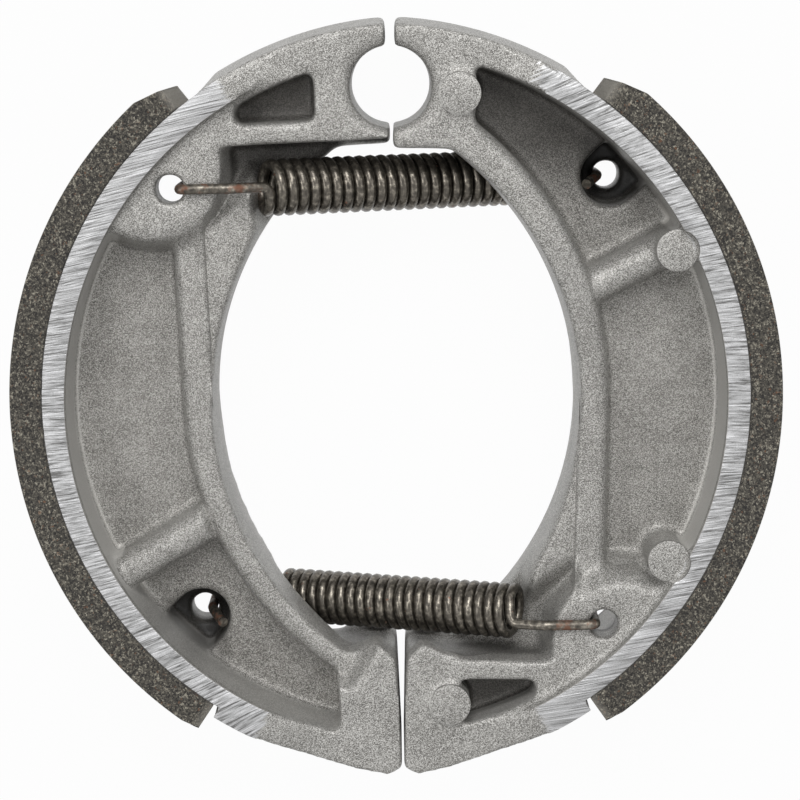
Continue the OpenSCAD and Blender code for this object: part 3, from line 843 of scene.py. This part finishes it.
def springPoints(look):
    tilt = math.atan((pair["faceZ"] + spring["wire"] / 2) / -look["hole"][0])
    half = spring["turns"] / 2
    coil = coilPoints(look, tilt, -half, half, spring["turns"] * spring["steps"])
    past = coilPoints(look, tilt, half, half + spring["hookTurn"], 4)[1:]
    hook = hookPoints(look, tilt, past)
    swapped = [Vector((-point.x, point.y, -point.z)) for point in reversed(hook)]
    points = swapped + coil + hook
    if look["turned"]:
        points = [Vector((-point.x, -point.y, point.z)) for point in points]
    # a little more wire in the coils closes most of the gap between their turns
    swell = 1 + spring["closeShare"] * look["turnGap"] / spring["wire"]
    radii = [1.0] * len(hook) + [swell] * len(coil) + [1.0] * len(hook)
    return [point + Vector((0, look["hole"][1], 0)) for point in points], radii


def makeSpring(name, node, look, material):
    curve = bpy.data.curves.new(name, "CURVE")
    curve.dimensions = "3D"
    curve.bevel_depth = spring["wire"] / 2 * mm
    curve.bevel_resolution = 4
    curve.use_fill_caps = True
    points, radii = springPoints(look)
    line = curve.splines.new("POLY")
    line.points.add(len(points) - 1)
    for point, place, radius in zip(line.points, points, radii):
        point.co = (*(place * mm), 1)
        point.radius = radius
    shaped = linkedObject(name + "Curve", curve)
    piece = linkedObject(name, shapedMesh(shaped))
    smoothShading(piece, spring["crisp"])
    putOn(piece, material)
    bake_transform(piece)
    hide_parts(node)
    return piece


for side in ("left", "right"):
    made = makeCasting(side)
    print(side, "casting", len(made.data.vertices), "vertices")
    made = makeMarks(side)
    print(side, "ejector marks", len(made.data.vertices), "vertices")
    for face in (1, -1):
        made = makeGroundEdge(side, face)
    print(side, "ground edges", len(made.data.vertices), "vertices each")
    made = makeLining(side)
    print(side, "lining", len(made.data.vertices), "vertices")

steel = springSteel()
made = makeSpring("upperSpring", "upper_spring", upper, steel)
makeSpring("lowerSpring", "lower_spring", lower, steel)
print("springs", len(made.data.vertices), "vertices each")


# Studio

studio = {
    "floorZ": -12.6, "floorSize": 3.0, "floorGrey": (0.5, 0.5, 0.5), "floorRoughness": 0.9,
    "floorShade": 0.03, "white": 1.0, "world": 0.25, "aim": (0, -42, 0),
}
lamps = {
    "top": {"place": (0.0, 0.58, 0.82), "size": 0.55, "power": 6.5},
    "left": {"place": (-0.62, 0.0, 0.78), "size": 0.4, "power": 1.8},
    "right": {"place": (0.62, 0.0, 0.78), "size": 0.4, "power": 0.8},
    "low": {"place": (0.0, -0.65, 0.75), "size": 0.4, "power": 0.2},
}


def seenDirectly(tree):
    # 1 where the camera sees a surface, also in a mirror or through glass
    rays = tree.nodes.new("ShaderNodeLightPath")
    seen = Sum(tree, rays.outputs["Is Camera Ray"])
    for kind in ("Is Glossy Ray", "Is Transmission Ray"):
        seen = seen.math("MAXIMUM", seen, Sum(tree, rays.outputs[kind]))
    return seen


def floorWhite():
    # white, with a little of its real shading for the shadow
    paint = Paint("floorWhite")
    tree = paint.tree
    paint.finish(Base_Color=studio["floorGrey"], Roughness=studio["floorRoughness"])
    glow = tree.nodes.new("ShaderNodeEmission")
    glow.inputs["Strength"].default_value = studio["white"]
    mix = tree.nodes.new("ShaderNodeMixShader")
    share = seenDirectly(tree) * (1 - studio["floorShade"])
    tree.links.new(share.socket, mix.inputs[0])
    tree.links.new(paint.surface.outputs[0], mix.inputs[1])
    tree.links.new(glow.outputs[0], mix.inputs[2])
    tree.links.new(mix.outputs[0], tree.nodes["Material Output"].inputs["Surface"])
    return paint.material


def makeFloor():
    bm = bmesh.new()
    bmesh.ops.create_grid(
        bm, x_segments=1, y_segments=1, size=studio["floorSize"],
        matrix=Matrix.Translation((0, 0, studio["floorZ"] * mm)))
    floor = objectFrom(bm, "floor")
    putOn(floor, floorWhite())


def makeWorld():
    world = bpy.data.worlds.new("studio")
    bpy.context.scene.world = world
    world.use_nodes = True
    tree = world.node_tree
    tree.nodes.clear()
    backdrop = tree.nodes.new("ShaderNodeBackground")
    strength = seenDirectly(tree) * (studio["white"] - studio["world"]) + studio["world"]
    backdrop.inputs["Color"].default_value = (1, 1, 1, 1)
    tree.links.new(strength.socket, backdrop.inputs["Strength"])
    output = tree.nodes.new("ShaderNodeOutputWorld")
    tree.links.new(backdrop.outputs[0], output.inputs["Surface"])


def makeLamp(name, lamp):
    light = bpy.data.lights.new(name, "AREA")
    light.energy = lamp["power"]
    light.size = lamp["size"]
    holder = linkedObject(name, light)
    holder.location = lamp["place"]
    aim = Vector(studio["aim"]) * mm
    holder.rotation_euler = (aim - holder.location).to_track_quat("-Z", "Y").to_euler()


def makeCamera():
    camera = bpy.data.cameras.new("camera")
    camera.lens = view["lens"]
    camera.sensor_width = view["sensor"]
    camera.clip_start = 0.01
    camera.clip_end = 10
    holder = linkedObject("camera", camera)
    holder.matrix_world = (
        Matrix.Translation(Vector(view["place"]) * mm)
        @ Matrix.Rotation(-turn(view["tilt"]), 4, "X")
        @ Matrix.Rotation(turn(view["roll"]), 4, "Z"))
    bpy.context.scene.camera = holder


makeFloor()
makeWorld()
for name, lamp in lamps.items():
    makeLamp(name, lamp)
makeCamera()
bpy.context.scene.view_settings.view_transform = "Standard"
print("studio:", len(lamps), "lamps, floor and camera")
